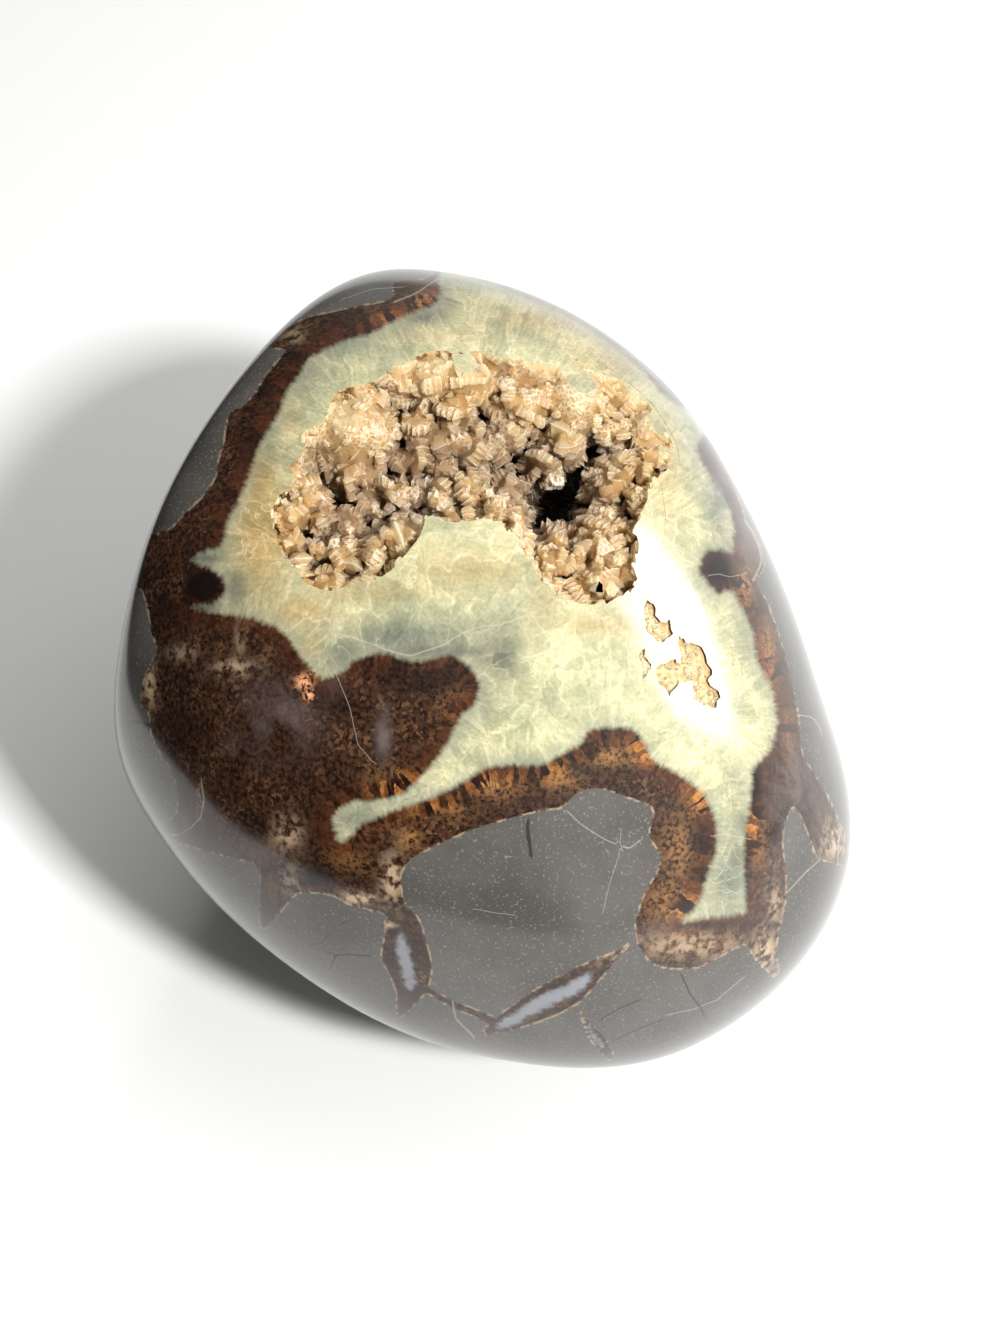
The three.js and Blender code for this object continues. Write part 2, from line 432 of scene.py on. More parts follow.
# The markings in the polish, each an outline in pixels. The grey mudstone is what lies
# outside the healed cracks, and the brown is what lies between them and the calcite.
PIXEL = CAMERA_DISTANCE / pixels_per_slope
HEALED_CRACK = [(392, 298), (392, 284), (406, 279), (420, 280), (432, 274), (441, 267), (462, 268),
    (482, 277), (516, 289), (547, 302), (577, 316), (603, 333), (628, 352), (651, 373), (671, 395),
    (690, 400), (720, 392), (752, 408), (742, 436), (722, 446), (718, 452), (730, 475), (741, 504),
    (749, 525), (760, 546), (765, 567), (757, 580), (764, 596), (769, 606), (784, 649), (799, 716),
    (803, 753), (825, 790), (847, 838), (862, 866), (821, 860), (812, 845), (803, 823), (794, 807),
    (786, 822), (783, 845), (786, 866), (786, 901), (777, 944), (779, 978), (767, 971), (755, 959),
    (745, 945), (728, 953), (709, 963), (698, 968), (674, 969), (653, 964), (638, 946), (635, 925),
    (640, 905), (646, 890), (655, 875), (660, 862), (658, 851), (651, 840), (649, 831), (653, 809),
    (636, 801), (617, 794), (600, 789), (579, 792), (561, 808), (540, 811), (481, 827), (446, 841),
    (424, 852), (409, 861), (401, 876), (402, 890), (405, 905), (416, 914), (423, 929), (429, 950),
    (432, 971), (427, 990), (415, 1005), (398, 1019), (396, 992), (389, 975), (381, 956),
    (385, 933), (383, 924), (387, 916), (368, 910), (349, 905), (330, 895), (303, 893), (293, 897),
    (284, 908), (260, 930), (259, 870), (234, 859), (205, 851), (176, 842), (163, 836), (169, 821),
    (177, 810), (176, 788), (171, 771), (161, 755), (151, 735), (148, 712), (141, 706), (141, 690),
    (146, 673), (156, 649), (151, 633), (148, 613), (144, 597), (138, 588), (105, 570), (60, 545),
    (10, 520), (60, 505), (110, 512), (153, 533), (161, 531), (172, 527), (179, 519), (189, 509),
    (201, 498), (210, 486), (215, 477), (217, 467), (220, 453), (224, 439), (225, 429), (230, 412),
    (241, 407), (249, 400), (258, 388), (263, 377), (272, 367), (285, 351), (284, 350), (262, 345),
    (240, 330), (262, 318), (292, 325), (304, 317), (323, 313), (341, 309), (361, 305)]
CALCITE_FILL = [(439, 278), (437, 301), (406, 316), (368, 334), (342, 342), (312, 357), (299, 375),
    (286, 395), (279, 413), (263, 439), (253, 462), (243, 492), (228, 520), (222, 545), (205, 552),
    (192, 560), (206, 567), (221, 575), (225, 591), (213, 604), (190, 607), (212, 612), (224, 615),
    (243, 616), (266, 623), (282, 631), (299, 654), (314, 672), (324, 679), (344, 671), (356, 659),
    (381, 653), (401, 659), (422, 661), (446, 655), (460, 659), (473, 671), (479, 687), (475, 704),
    (462, 716), (454, 732), (442, 751), (422, 777), (401, 795), (371, 801), (352, 802), (333, 817),
    (341, 843), (360, 826), (389, 812), (426, 800), (462, 783), (483, 769), (513, 765), (544, 765),
    (560, 755), (581, 744), (591, 730), (626, 728), (642, 738), (653, 760), (677, 774), (698, 788),
    (710, 806), (717, 834), (714, 859), (705, 883), (698, 904), (681, 922), (705, 918), (744, 913),
    (745, 901), (744, 866), (745, 831), (749, 810), (751, 788), (754, 767), (768, 752), (777, 727),
    (771, 686), (758, 664), (751, 627), (734, 594), (732, 590), (716, 592), (704, 578), (699, 566),
    (706, 552), (720, 549), (732, 552), (732, 516), (710, 475), (697, 452), (703, 436), (725, 425),
    (738, 412), (718, 402), (690, 408), (668, 398), (648, 376), (625, 355), (600, 336), (574, 319),
    (545, 305), (514, 292), (481, 280), (462, 272), (446, 268)]
LENS_VEINS = {
    "middle lens": [(469, 1047), (482, 1032), (494, 1019), (519, 1000), (551, 980), (586, 963),
        (618, 950), (631, 942), (616, 961), (595, 986), (576, 1005), (547, 1019), (513, 1030),
        (486, 1036)],
    "lower lens": [(578, 1005), (590, 1023), (607, 1040), (616, 1065), (601, 1053), (588, 1036)],
    "thread": [(419, 981), (425, 984), (452, 1000), (478, 1010), (496, 1018), (490, 1025),
        (472, 1016), (450, 1007), (423, 990)],
}
PALE_CORES = {
    "left core": [(398, 933), (406, 940), (412, 960), (415, 983), (408, 990), (401, 975),
        (396, 953)],
    "middle core": [(497, 1024), (520, 1008), (545, 993), (568, 984), (588, 974), (592, 979),
        (575, 995), (550, 1006), (525, 1019), (503, 1030)],
    "lower core": [(586, 1022), (594, 1031), (604, 1046), (599, 1046), (590, 1034)],
}

# Cracks in the polish that healed pale or stayed dark: their points and half widths.
PALE_LINES = {
    "across the top wedge": ([(444, 275), (432, 282), (420, 291), (410, 296), (394, 302)], 0.8),
    "across the calcite": ([(338, 633), (358, 639), (387, 650), (410, 656), (444, 645), (462, 633),
        (482, 626), (500, 625), (525, 616), (545, 617)], 0.8),
    "down the brown lobe": ([(324, 640), (335, 671), (350, 708), (358, 745), (373, 762)], 0.4),
    "round the left corner": ([(201, 781), (204, 800), (201, 817), (192, 827), (179, 835),
        (160, 836)], 0.6),
    "over the grey island": ([(567, 811), (582, 825), (602, 838), (619, 846), (630, 848),
        (640, 840)], 0.5),
    "down the island": ([(621, 830), (619, 855), (609, 886), (603, 912)], 0.3),
    "short island line": ([(475, 909), (496, 913), (514, 915)], 0.3),
    "low right line": ([(745, 976), (717, 1000), (694, 1009), (667, 1015)], 0.4),
    "lens loop": ([(453, 1003), (456, 1019), (473, 1036)], 1.0),
    "beside the right band": ([(745, 521), (754, 533), (760, 550), (762, 562), (754, 579)], 1.0),
    "across the dark blotch": ([(710, 575), (720, 574), (730, 577), (745, 574)], 0.4),
    "right flank line": ([(799, 715), (812, 717), (818, 723), (822, 735)], 0.6),
    "right corner line": ([(821, 859), (805, 873), (786, 894)], 0.6),
    "across the lower calcite": ([(713, 836), (725, 834), (738, 837), (750, 839)], 0.5),
    "top wedge hairline": ([(341, 300), (372, 289), (404, 287)], 0.3),
}
DARK_LINES = {
    "island dash": ([(528, 821), (528, 836), (531, 856)], 1.8),
    "low right crack": ([(682, 976), (690, 994), (700, 1007), (707, 1021)], 0.9),
    "low crack": ([(601, 1019), (620, 1008), (640, 1000)], 0.6),
    "lower crack": ([(611, 1042), (636, 1030), (662, 1020)], 0.5),
    "left crack": ([(123, 725), (136, 722), (152, 725)], 1.8),
    "lower left crack": ([(326, 952), (338, 955), (352, 955), (369, 956)], 0.7),
    "lower left branch": ([(336, 955), (330, 969)], 0.7),
    "low left curve": ([(310, 945), (322, 943), (336, 926), (350, 920)], 0.4),
}

# Soft patches of another tone: the middle and half sizes in pixels, and how strong. The pale grey
# haze patches laid over the brown are painted reflection of the room in the polish.
SOFT_PATCHES = {
    "amber": [(640, 753, 17, 13, 1.1), (492, 785, 30, 12, 1), (558, 776, 20, 12, 1),
        (610, 758, 22, 12, 0.9), (698, 798, 14, 16, 1.1), (674, 903, 26, 22, 0.9),
        (680, 850, 20, 34, 0.7), (409, 838, 12, 10, 1), (398, 784, 28, 13, 1.1),
        (440, 808, 30, 11, 0.7), (452, 700, 14, 20, 0.45), (745, 575, 10, 28, 0.9),
        (770, 650, 10, 40, 0.6), (756, 824, 9, 15, 1.3), (424, 300, 18, 10, 0.8),
        (395, 318, 24, 9, 0.7), (760, 850, 8, 22, 0.5), (790, 740, 8, 40, 0.4),
        (690, 945, 40, 10, 0.5), (350, 860, 24, 12, 0.4)],
    "painted_reflection": [(280, 718, 34, 36, 0.7), (383, 734, 7, 22, 1.2), (240, 745, 20, 14, 0.3),
        (180, 830, 20, 16, 0.8), (250, 850, 40, 12, 0.5), (725, 480, 14, 40, 0.9),
        (745, 530, 12, 30, 0.9), (790, 800, 25, 60, 0.8), (330, 690, 14, 18, 0.4)],
    "cream": [(233, 668, 20, 9, 0.9), (287, 833, 13, 16, 1), (150, 685, 6, 22, 1.2),
        (182, 654, 14, 9, 0.7), (292, 880, 14, 14, 0.7), (392, 880, 11, 24, 1.1),
        (359, 898, 17, 5, 1.5), (386, 925, 9, 3, 1.5), (765, 952, 12, 22, 1.1),
        (690, 945, 48, 14, 0.7), (835, 842, 14, 20, 1), (228, 408, 7, 9, 0.8),
        (292, 335, 12, 10, 0.6), (240, 640, 5, 18, 0.5), (200, 800, 4, 24, 0.4),
        (345, 905, 16, 4, 0.8), (610, 955, 22, 8, 0.5), (775, 905, 8, 22, 0.7)],
    "dark": [(203, 586, 17, 16, 2), (292, 355, 18, 9, 1), (265, 390, 12, 12, 0.8),
        (255, 450, 14, 18, 0.8), (430, 680, 40, 16, 0.9), (335, 700, 20, 20, 0.5),
        (752, 785, 9, 24, 1.6), (718, 570, 16, 16, 1.4), (180, 700, 22, 60, 0.6),
        (310, 875, 22, 10, 1), (600, 770, 50, 8, 0.5), (160, 600, 14, 30, 0.7),
        (700, 838, 12, 18, 0.8), (745, 880, 4, 30, 1), (700, 925, 40, 4, 0.9)],
    "honey": [(360, 592, 60, 12, 0.7), (560, 320, 80, 14, 0.8), (260, 530, 32, 70, 1.4),
        (300, 612, 34, 18, 1), (258, 480, 20, 50, 1.3), (470, 570, 70, 20, 0.7),
        (290, 420, 14, 30, 0.6), (620, 350, 46, 36, 0.8), (560, 322, 60, 14, 0.7),
        (665, 470, 18, 60, 0.7), (600, 625, 60, 14, 0.7), (310, 645, 14, 16, 0.7),
        (440, 335, 60, 10, 0.4), (640, 600, 20, 30, 0.5), (400, 590, 60, 12, 0.5),
        (545, 600, 20, 30, 0.5)],
    "mint": [(400, 636, 70, 20, 1.1), (345, 650, 24, 16, 1.1), (340, 340, 60, 20, 0.75),
        (430, 296, 30, 22, 0.8), (310, 372, 24, 22, 0.7), (490, 640, 34, 26, 0.6),
        (740, 640, 14, 50, 0.4), (716, 500, 12, 40, 0.8), (728, 882, 24, 44, 1.1),
        (430, 800, 70, 14, 0.55), (355, 818, 26, 14, 0.9), (735, 780, 12, 26, 0.6),
        (530, 762, 60, 8, 0.5), (460, 745, 16, 30, 0.45), (270, 440, 10, 30, 0.5),
        (690, 430, 12, 24, 0.4)],
    "smoke": [(502, 660, 20, 26, 0.9), (440, 652, 60, 7, 1.1), (236, 588, 11, 22, 0.8),
        (422, 318, 22, 8, 1.0), (352, 664, 22, 8, 0.7), (724, 570, 26, 26, 0.6),
        (738, 862, 6, 26, 0.7), (722, 500, 7, 30, 0.5), (205, 558, 18, 6, 1.2),
        (205, 609, 18, 5, 1.2), (300, 372, 9, 12, 0.4), (744, 820, 6, 20, 0.7),
        (484, 700, 12, 16, 0.5), (400, 660, 30, 6, 0.8)],
    "copper": [(304, 682, 8, 7, 1), (309, 695, 5, 5, 1.2), (316, 672, 6, 5, 0.6)],
}

# Veins on the back and under the stone, each a thin wavy sheet through it: the way that it
# faces, a point that it passes, its half thickness and how far it reaches.
FAR_VEINS = [((35, 10), (0, 60, 60), 4.0, 62), ((-60, 20), (-35, 30, 50), 3.2, 44),
    ((100, -55), (20, 45, 22), 2.6, 46), ((160, 60), (0, 20, 12), 2.2, 50),
    ((75, 15), (52, 12, 40), 2.8, 40)]
FAR_CORE_DEPTH = 1.5
PIXELS_PER_DEGREE = 6.2


def nearest_on_line(points, starts, ends):
    """The distance to the nearest of many short lines, its nearest point and its side."""
    best = np.full(len(points), 1e9)
    foot = np.zeros((len(points), 2))
    side = np.zeros(len(points))
    for a, b in zip(starts, ends):
        span = b - a
        share = np.clip((points - a) @ span / max(span @ span, 1e-9), 0, 1)
        spot = a + share[:, None] * span
        gap = np.linalg.norm(points - spot, axis=1)
        closer = gap < best
        best[closer] = gap[closer]
        foot[closer] = spot[closer]
        cross = span[0] * (points[:, 1] - a[1]) - span[1] * (points[:, 0] - a[0])
        side[closer] = cross[closer]
    return best, foot, side


def inside_outline(points, outline):
    """The distance inside a closed outline, negative outside, and the nearest edge point."""
    outline = along_closed_line(outline)
    ends = np.roll(outline, -1, axis=0)
    gap, foot, _ = nearest_on_line(points, outline, ends)
    inside = np.zeros(len(points), dtype=bool)
    for a, b in zip(outline, ends):
        crosses = (a[1] > points[:, 1]) != (b[1] > points[:, 1])
        if abs(b[1] - a[1]) > 1e-9:
            x = a[0] + (points[:, 1] - a[1]) * (b[0] - a[0]) / (b[1] - a[1])
            inside ^= crosses & (points[:, 0] < x)
    return np.where(inside, gap, -gap), foot


def stone_chart(points):
    """Pixels for the side that the camera sees, carried on at true scale round its edge."""
    turns = np.linspace(0, 2 * np.pi, 361)[:-1]
    tilts = np.radians(np.arange(45, 125, 0.5))
    edge_tilt, edge_pixel = [], []
    for turn in turns:
        level = math.cos(turn) * waist_right + math.sin(turn) * waist_top
        out = np.cos(tilts)[:, None] * waist_axis + np.sin(tilts)[:, None] * level
        pixel = in_picture(STONE_MIDDLE + out * form_radius(out)[:, None])
        widest = np.argmax(np.linalg.norm(pixel - STONE_MIDDLE_PIXEL, axis=1))
        edge_tilt.append(math.degrees(tilts[widest]))
        edge_pixel.append(pixel[widest])
    out = points - STONE_MIDDLE
    out /= np.linalg.norm(out, axis=1)[:, None]
    turn = np.arctan2(out @ waist_top, out @ waist_right) % (2 * np.pi)
    tilt = np.degrees(np.arccos(np.clip(out @ waist_axis, -1, 1)))
    limit = np.interp(turn, turns, edge_tilt, period=2 * np.pi)
    edge = np.stack([np.interp(turn, turns, column, period=2 * np.pi)
        for column in np.array(edge_pixel).T], axis=1)
    outward = edge - STONE_MIDDLE_PIXEL
    outward /= np.linalg.norm(outward, axis=1)[:, None]
    past = tilt - limit
    chart = np.where((past > 0)[:, None], edge + outward * PIXELS_PER_DEGREE * past[:, None],
        in_picture(points))
    return chart, past


def soft_patch(chart, patches):
    """How strongly each point lies in any of the soft patches."""
    total = np.zeros(len(chart))
    for x, y, wide, high, strength in patches:
        reach = ((chart[:, 0] - x) / wide) ** 2 + ((chart[:, 1] - y) / high) ** 2
        total = np.maximum(total, strength * np.exp(-reach))
    return total


def line_fields(chart, lines):
    """The signed distance from the nearest crack, and how surely a point lies on it."""
    side_gap = np.full(len(chart), 9.0)
    nearness = np.zeros(len(chart))
    for points, half in lines.values():
        points = np.asarray(points, dtype=float)
        gap, _, side = nearest_on_line(chart, points[:-1], points[1:])
        closer = np.maximum(0, 1 - gap / 8) > nearness
        side_gap[closer] = (np.sign(side) * gap / half)[closer]
        nearness = np.maximum(nearness, np.maximum(0, 1 - gap / 8))
    return side_gap, nearness


def add_attribute(mesh, name, values, domain="POINT"):
    """Stores a number or a vector at each point or face of a mesh."""
    kind = "FLOAT" if values.ndim == 1 else "FLOAT_VECTOR"
    layer = mesh.attributes.new(name, kind, domain)
    field = "value" if kind == "FLOAT" else "vector"
    layer.data.foreach_set(field, values.astype(np.float32).ravel())


def mark_calcite(mesh, chart, foot, calcite):
    """Stores what the calcite's colour is made from: its columns and its soft patches."""
    add_attribute(mesh, "column", np.concatenate([foot, calcite[:, None]], axis=1))
    for name in ("honey", "mint", "smoke"):
        add_attribute(mesh, name, soft_patch(chart, SOFT_PATCHES[name]))


def mark_stone(mesh, points):
    """Stores the markings' fields at a mesh's points, as distances in millimetres."""
    chart, past = stone_chart(points)
    healed, _ = inside_outline(chart, HEALED_CRACK)
    for outline in LENS_VEINS.values():
        healed = np.maximum(healed, inside_outline(chart, outline)[0])
    calcite, foot = inside_outline(chart, CALCITE_FILL)
    core = np.full(len(points), -99.0)
    for outline in PALE_CORES.values():
        core = np.maximum(core, inside_outline(chart, outline)[0])
    healed, calcite, core = healed * PIXEL, calcite * PIXEL, core * PIXEL
    foot = foot * PIXEL
    column_reach = calcite.copy()
    for (turn, rise), place, half, span in FAR_VEINS:
        across = facing(turn, rise)
        away = points - np.array(place)
        height = away @ across
        in_plane = away - height[:, None] * across
        reach = np.linalg.norm(in_plane, axis=1)
        wander = 3.0 * np.sin(in_plane[:, 2] / 9.0 + 1.3) + 2.0 * np.sin(in_plane[:, 0] / 6.0)
        sheet = half * (1 - (reach / span) ** 2) - np.abs(height + wander)
        sheet = np.minimum(sheet, (past - 4) * 0.35)
        nearer = sheet > healed
        healed = np.maximum(healed, sheet)
        calcite = np.maximum(calcite, sheet - FAR_CORE_DEPTH)
        foot[nearer, 0] = in_plane[nearer, 0]
        foot[nearer, 1] = in_plane[nearer, 1] + in_plane[nearer, 2]
        column_reach[nearer] = (sheet - FAR_CORE_DEPTH)[nearer]
    add_attribute(mesh, "healed", healed)
    add_attribute(mesh, "calcite", calcite)
    add_attribute(mesh, "core", core)
    mark_calcite(mesh, chart, foot, column_reach)
    for name in ("amber", "painted_reflection", "cream", "dark", "copper"):
        add_attribute(mesh, name, soft_patch(chart, SOFT_PATCHES[name]))
    for name, lines in (("pale_line", PALE_LINES), ("dark_line", DARK_LINES)):
        side_gap, nearness = line_fields(chart, lines)
        add_attribute(mesh, name, side_gap)
        add_attribute(mesh, name + "_near", nearness)


mark_stone(stone_mesh, stone_points)


def corners_of(mesh):
    """The point number of each face corner, and the face number of each."""
    corner = np.empty(len(mesh.loops), dtype=np.int32)
    mesh.loops.foreach_get("vertex_index", corner)
    sizes = np.empty(len(mesh.polygons), dtype=np.int32)
    mesh.polygons.foreach_get("loop_total", sizes)
    return corner, np.repeat(np.arange(len(sizes)), sizes)


def face_values(mesh, field, width):
    """A number or vector of each face."""
    values = np.empty(len(mesh.polygons) * width, dtype=np.float64)
    mesh.polygons.foreach_get(field, values)
    return values.reshape(-1, width)


def shade_polish(mesh, polished):
    """Gives polished faces the form's own smooth normals and leaves the rest flat."""
    corner, face = corners_of(mesh)
    points = points_of(mesh)
    normals = face_values(mesh, "normal", 3)[face]
    smooth = polished[face]
    normals[smooth] = polish_normals(points[corner[smooth]])
    mesh.shade_smooth()
    mesh.normals_split_custom_set(normals)


# Faces this near the form are polished, and no face under this height is in the hollow.
ON_FORM = 0.03
UNDER_HOLLOW = 60.0
face_middle = face_values(stone_mesh, "center", 3) / MM
on_form = (np.abs(above_polish(face_middle)) < ON_FORM) | (face_middle[:, 2] < UNDER_HOLLOW)
under_flat = face_middle[:, 2] < 0.01
shade_polish(stone_mesh, on_form & ~under_flat)
add_attribute(stone_mesh, "cut_wall", (~(on_form | under_flat)).astype(float), "FACE")


def maths(operation, *values):
    """A maths node's output."""
    return add_node("ShaderNodeMath", dict(enumerate(values)), operation=operation).outputs[0]


def times(*values):
    """The product of two numbers."""
    return maths("MULTIPLY", *values)


def plus(*values):
    """The sum of two numbers."""
    return maths("ADD", *values)


def ramp(value, low, high):
    """A smooth step from 0 at low to 1 at high."""
    return add_node("ShaderNodeMapRange", {"Value": value, "From Min": low, "From Max": high},
        interpolation_type="SMOOTHSTEP").outputs[0]


def blend(share, first, second, kind="MIX"):
    """A colour between two others, or one laid over the other."""
    node = add_node("ShaderNodeMix", {0: share, 6: first, 7: second}, data_type="RGBA",
        blend_type=kind)
    return node.outputs[2]


def stored(name):
    """A stored field of the mesh."""
    node = add_node("ShaderNodeAttribute", attribute_name=name)
    return node.outputs["Vector"] if name == "column" else node.outputs["Fac"]


def grain_of(vector, scale, detail=3.0, roughness=0.55):
    """Noise from 0 to 1."""
    return add_node("ShaderNodeTexNoise", {"Vector": vector, "Scale": scale, "Detail": detail,
        "Roughness": roughness}).outputs["Fac"]


def stretch(vector, scale):
    """A vector with each part scaled."""
    return add_node("ShaderNodeVectorMath", {0: vector, 1: scale}, operation="MULTIPLY").outputs[0]


def stirred(vector, scale, detail, amount):
    """A vector that noise moves about by an amount."""
    stir = add_node("ShaderNodeTexNoise", {"Vector": place, "Scale": scale, "Detail": detail})
    return add_node("ShaderNodeVectorMath",
        {0: vector, 1: stretch(stir.outputs["Color"], (amount, amount, amount))},
        operation="ADD").outputs[0]


def cell_tone(cells):
    """A number from 0 to 1 for each cell of a pattern."""
    return add_node("ShaderNodeSeparateColor", {"Color": cells.outputs["Color"]}).outputs[0]


def polished_calcite():
    """The calcite group's node in a material, fed with the mesh's stored fields."""
    return add_node("ShaderNodeGroup", {"Place": place, "Column": stored("column"),
        "Honey": stored("honey"), "Mint": stored("mint"), "Smoke": stored("smoke")},
        node_tree=calcite_group)


# Calcite as it is cut and polished: pale columns that grew in from the walls, clouded yellow,
# mint or smoky, with white cleavage cracks between the crystals.
calcite_group = bpy.data.node_groups.new("polished calcite", "ShaderNodeTree")
for socket, kind, in_out in (("Honey", "Float", "INPUT"), ("Mint", "Float", "INPUT"),
        ("Smoke", "Float", "INPUT"), ("Place", "Vector", "INPUT"), ("Column", "Vector", "INPUT"),
        ("Colour", "Color", "OUTPUT"), ("Height", "Float", "OUTPUT")):
    calcite_group.interface.new_socket(socket, in_out=in_out, socket_type="NodeSocket" + kind)
tree = calcite_group
given, result = tree.nodes.new("NodeGroupInput"), tree.nodes.new("NodeGroupOutput")
place, column = given.outputs["Place"], given.outputs["Column"]
warped = stirred(stretch(column, (0.38, 0.38, 0.19)), 260.0, 2.0, 1.3)
cells = add_node("ShaderNodeTexVoronoi", {"Vector": warped, "Scale": 1.0})
cell_edge = add_node("ShaderNodeTexVoronoi", {"Vector": warped, "Scale": 1.0},
    feature="DISTANCE_TO_EDGE").outputs["Distance"]
streaks = grain_of(stretch(column, (2.2, 2.2, 0.35)), 1.0, 4.0)
clouds = grain_of(place, 110.0, 3.0)
fine = grain_of(place, 1900.0, 4.0, 0.65)
pale = blend(ramp(clouds, 0.35, 0.65), (0.30, 0.29, 0.185, 1), (0.43, 0.39, 0.235, 1))
honey = blend(times(given.outputs["Honey"], 0.85), pale, (0.32, 0.225, 0.10, 1))
mint = blend(times(given.outputs["Mint"], 0.85), honey, (0.115, 0.125, 0.10, 1))
smoke = blend(times(given.outputs["Smoke"], 0.9), mint, (0.075, 0.075, 0.06, 1))
tone = cell_tone(cells)
shaded = smoke
for share, dark, light in ((tone, (0.80, 0.82, 0.80, 1), (1.10, 1.08, 1.06, 1)),
        (ramp(streaks, 0.3, 0.7), (0.84, 0.86, 0.83, 1), (1.09, 1.09, 1.08, 1)),
        (ramp(fine, 0.32, 0.68), (0.86, 0.87, 0.87, 1), (1.12, 1.12, 1.12, 1)),
        (ramp(cell_edge, 0.0, 0.16), (1.10, 1.10, 1.09, 1), (0.95, 0.96, 0.95, 1))):
    shaded = blend(1.0, shaded, blend(share, dark, light), "MULTIPLY")
crack = times(ramp(cell_edge, 0.022, 0.0), ramp(clouds, 0.44, 0.62))
cracked = blend(times(crack, 0.35), shaded, (0.62, 0.60, 0.48, 1))
tree.links.new(cracked, result.inputs["Colour"])
tree.links.new(plus(times(tone, 0.5), times(streaks, 0.6)), result.inputs["Height"])

stone_finish, tree, output = new_material("polished nodule")
place = add_node("ShaderNodeTexCoord").outputs["Object"]
column = stored("column")
edge_noise = grain_of(place, 700.0, 4.0, 0.6)
wobble = maths("SUBTRACT", edge_noise, 0.5)
fibres = grain_of(stretch(column, (1.3, 1.3, 0.22)), 1.0, 4.0, 0.6)
fibre_wobble = maths("SUBTRACT", fibres, 0.5)

healed = plus(stored("healed"), times(wobble, 0.9))
calcite_reach = plus(stored("calcite"), plus(times(wobble, 1.0), times(fibre_wobble, 1.3)))
in_healed = ramp(healed, -0.06, 0.06)
in_calcite = times(ramp(calcite_reach, -0.6, 0.6), in_healed)
in_core = ramp(plus(stored("core"), times(wobble, 2.4)), -0.5, 0.7)

# Grey mudstone, very fine, with faint clouds and specks.
mud_cloud = grain_of(place, 60.0, 4.0)
mud_fine = grain_of(place, 2600.0, 2.0)
mud = blend(ramp(mud_cloud, 0.35, 0.65), (0.050, 0.046, 0.041, 1), (0.073, 0.068, 0.061, 1))
mud = blend(ramp(mud_fine, 0.58, 0.72), mud, (0.135, 0.128, 0.115, 1))

# Brown aragonite: sugary dark grains with tan flecks against the mudstone, and columns of
# deep red and amber that stand on it, square to the calcite.
patchy = grain_of(place, 150.0, 4.0, 0.6)
grain = cell_tone(add_node("ShaderNodeTexVoronoi", {
    "Vector": stirred(place, 900.0, 3.0, 0.0011), "Scale": 2100.0}))
grainy = grain_of(place, 1500.0, 4.0, 0.7)
brown = blend(ramp(grainy, 0.38, 0.64), (0.006, 0.0026, 0.0018, 1), (0.042, 0.018, 0.009, 1))
fleck = times(ramp(grain, 0.62, 0.92), ramp(patchy, 0.40, 0.66))
brown = blend(fleck, brown, (0.090, 0.044, 0.021, 1))
column_tone = cell_tone(add_node("ShaderNodeTexVoronoi", {
    "Vector": stirred(stretch(column, (0.95, 0.95, 0.2)), 500.0, 2.0, 0.9), "Scale": 1.0}))
amber = stored("amber")
brown = blend(times(times(amber, 0.8), ramp(grainy, 0.36, 0.60)), brown, (0.26, 0.13, 0.045, 1))
red = blend(ramp(column_tone, 0.1, 0.7), (0.008, 0.0026, 0.0017, 1), (0.070, 0.020, 0.007, 1))
red = blend(times(times(amber, ramp(column_tone, 0.25, 0.75)), ramp(grainy, 0.3, 0.6)), red,
    (0.36, 0.15, 0.035, 1))
from_calcite = times(calcite_reach, -1.0)
stands = times(ramp(plus(from_calcite, times(column_tone, 1.8)), 5.2, 2.0),
    maths("MINIMUM", plus(amber, 0.45), 1.0))
brown = blend(stands, brown, red)
# Over the brown: a pale grey haze that is painted reflection of the room in the polish, then cream
# tints and copper flecks.
for name, grainy_by, low, high, tint in (("painted_reflection", patchy, 0.35, 0.6, (0.085, 0.066, 0.062, 1)),
        ("cream", edge_noise, 0.4, 0.6, (0.33, 0.235, 0.15, 1)),
        ("copper", grain, 0.3, 0.6, (0.70, 0.32, 0.15, 1))):
    brown = blend(times(stored(name), ramp(grainy_by, low, high)), brown, tint)
brown = blend(maths("MINIMUM", times(stored("dark"), 0.85), 0.93), brown,
    (0.004, 0.0025, 0.0025, 1))

calcite = polished_calcite()
near_brown = times(ramp(calcite_reach, 3.2, 0.0), 0.42)
calcite_colour = blend(near_brown, calcite.outputs["Colour"], (0.165, 0.175, 0.135, 1))

colour = blend(in_healed, mud, brown)
cream_edge = times(times(ramp(maths("ABSOLUTE", maths("SUBTRACT", healed, 0.12)), 0.26, 0.06),
    ramp(edge_noise, 0.44, 0.60)), 0.75)
colour = blend(cream_edge, colour, (0.27, 0.205, 0.14, 1))
colour = blend(in_calcite, colour, calcite_colour)
colour = blend(in_core, colour, (0.17, 0.175, 0.19, 1))


def crack_mask(name, softness):
    """Where a crack shows, wandering a little and thinning out towards its ends."""
    side = maths("ABSOLUTE", plus(stored(name), times(wobble, 2.5)))
    return times(ramp(side, 1.0 + softness, 1.0 - softness),
        ramp(stored(name + "_near"), 0.45, 0.7))


pale_line = times(crack_mask("pale_line", 0.7), 0.42)
colour = blend(pale_line, colour, (0.36, 0.31, 0.24, 1))
colour = blend(times(crack_mask("dark_line", 0.5), 0.85), colour, (0.016, 0.014, 0.012, 1))

